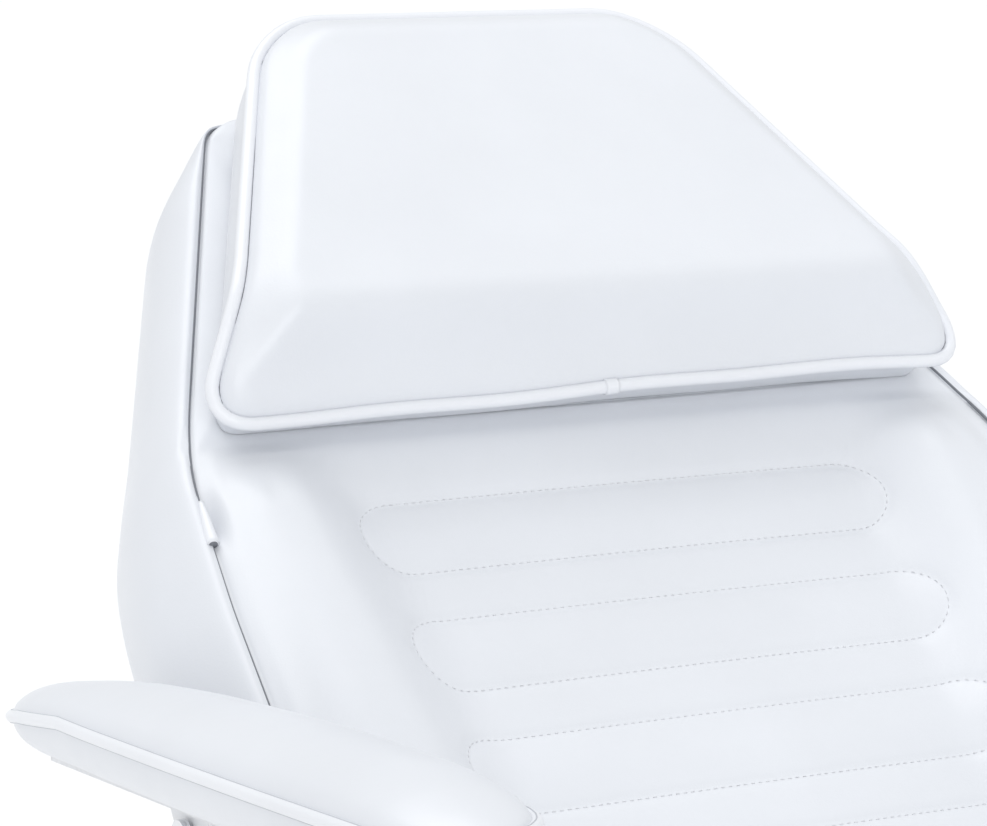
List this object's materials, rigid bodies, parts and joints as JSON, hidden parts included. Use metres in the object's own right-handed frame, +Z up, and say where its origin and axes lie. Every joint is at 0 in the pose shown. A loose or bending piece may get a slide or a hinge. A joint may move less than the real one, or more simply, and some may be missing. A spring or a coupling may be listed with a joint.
{
  "type": "reclining treatment chair",
  "caption": "Padded reclining treatment chair on a hydraulic pump foot, with tilting backrest and leg rest, flip-up armrests and a sliding head pillow.",
  "frame": {"origin": "on the floor, on the swivel axis, at the flat underside of the steel foot plate", "axes": "+Z up; the sitter faces -Y and the head end is at +Y; +X is to the right of someone looking along +Y at the front of the chair"},
  "size_m": [0.768, 1.6375, 1.1436],
  "materials": {
    "vinyl": "satin",
    "vinyl_rear": "satin",
    "paint": "satin",
    "chrome": "polished",
    "steel": "satin",
    "rubber": "matte",
    "plastic": "matte",
    "wood": "matte"
  },
  "bodies": {
    "base": {"base_plate": "steel", "base_rim": "rubber", "base_cover": "chrome", "pump_reservoir": "paint", "pump_barrel": "chrome", "gland_nut": "steel", "ram_wiper": "rubber", "pump_bolts": "steel", "pedal_bracket": "paint"},
    "pedal": {"pedal_shaft": "chrome", "pedal_arm": "chrome", "pedal_pad": "rubber"},
    "plunger": {"pump_plunger": "chrome"},
    "ram": {"ram": "chrome", "ram_piston": "plastic", "thrust_washer": "steel"},
    "chassis": {"swivel_head": "steel", "ram_shroud": "chrome", "swivel_plate": "paint", "frame_bolts": "steel", "side_rail_left": "paint", "side_rail_right": "paint", "cross_tubes": "paint", "rail_caps": "plastic", "seat_board": "wood", "seat_cushion": "vinyl", "back_ears": "paint", "leg_ears": "paint", "pivot_pins": "chrome", "recliner_housings": "steel", "armrest_post_left": "paint", "armrest_post_right": "paint", "armrest_pins": "chrome"},
    "back_lever": {"back_release_lever": "chrome", "back_lever_knob": "plastic"},
    "leg_lever": {"leg_release_lever": "chrome", "leg_lever_knob": "plastic"},
    "backrest": {"back_arm_left": "paint", "back_arm_right": "paint", "back_rail_left": "paint", "back_rail_right": "paint", "back_cross_tubes": "paint", "back_board": "wood", "back_cover": "vinyl_rear", "back_cushion": "vinyl"},
    "headrest": {"headrest_pillow": "vinyl", "headrest_flap": "vinyl"},
    "legrest": {"leg_arms": "paint", "leg_rails": "paint", "leg_cross_tubes": "paint", "leg_board": "wood", "leg_cover": "vinyl_rear", "leg_cushion": "vinyl"},
    "armrest_left": {"armrest_pan_left": "paint", "armrest_cushion_left": "vinyl"},
    "armrest_right": {"armrest_pan_right": "paint", "armrest_cushion_right": "vinyl"}
  },
  "joints": [
    {"name": "column_lift", "type": "slide", "parent": "base", "child": "ram", "axis": [0, 0, 1], "range_m": [0, 0.18]},
    {"name": "swivel", "type": "hinge", "parent": "ram", "child": "chassis", "pos_m": [0, 0, 0.4], "axis": [0, 0, 1], "continuous": true},
    {"name": "pedal_pump", "type": "hinge", "parent": "base", "child": "pedal", "pos_m": [0, 0.092, 0.112], "axis": [-1, 0, 0], "range_deg": [0, 14], "stiffness_Nm_per_rad": 8, "springref_deg": -20.05},
    {"name": "plunger_stroke", "type": "slide", "parent": "base", "child": "plunger", "axis": [0, 0, -1], "range_m": [0, 0.0087]},
    {"name": "back_recline", "type": "hinge", "parent": "chassis", "child": "backrest", "pos_m": [0, 0.23, 0.535], "axis": [1, 0, 0], "range_deg": [-40, 35]},
    {"name": "headrest_slide", "type": "slide", "parent": "backrest", "child": "headrest", "axis": [0, 0.766, 0.6428], "range_m": [0, 0.06]},
    {"name": "leg_lift", "type": "hinge", "parent": "chassis", "child": "legrest", "pos_m": [0, -0.379, 0.535], "axis": [-1, 0, 0], "range_deg": [-33, 32]},
    {"name": "back_release", "type": "hinge", "parent": "chassis", "child": "back_lever", "pos_m": [0.28, 0.23, 0.535], "axis": [-1, 0, 0], "range_deg": [0, 22], "stiffness_Nm_per_rad": 2, "springref_deg": -17.19},
    {"name": "leg_release", "type": "hinge", "parent": "chassis", "child": "leg_lever", "pos_m": [0.28, -0.379, 0.535], "axis": [1, 0, 0], "range_deg": [0, 22], "stiffness_Nm_per_rad": 2, "springref_deg": -17.19},
    {"name": "armrest_left_flip", "type": "hinge", "parent": "chassis", "child": "armrest_left", "pos_m": [-0.338, 0.33, 0.783], "axis": [-1, 0, 0], "range_deg": [0, 78]},
    {"name": "armrest_right_flip", "type": "hinge", "parent": "chassis", "child": "armrest_right", "pos_m": [0.338, 0.33, 0.783], "axis": [-1, 0, 0], "range_deg": [0, 78]}
  ],
  "couplings": [
    {"joint": "plunger_stroke", "follows": "pedal_pump", "m_per_rad": 0.0351}
  ]
}
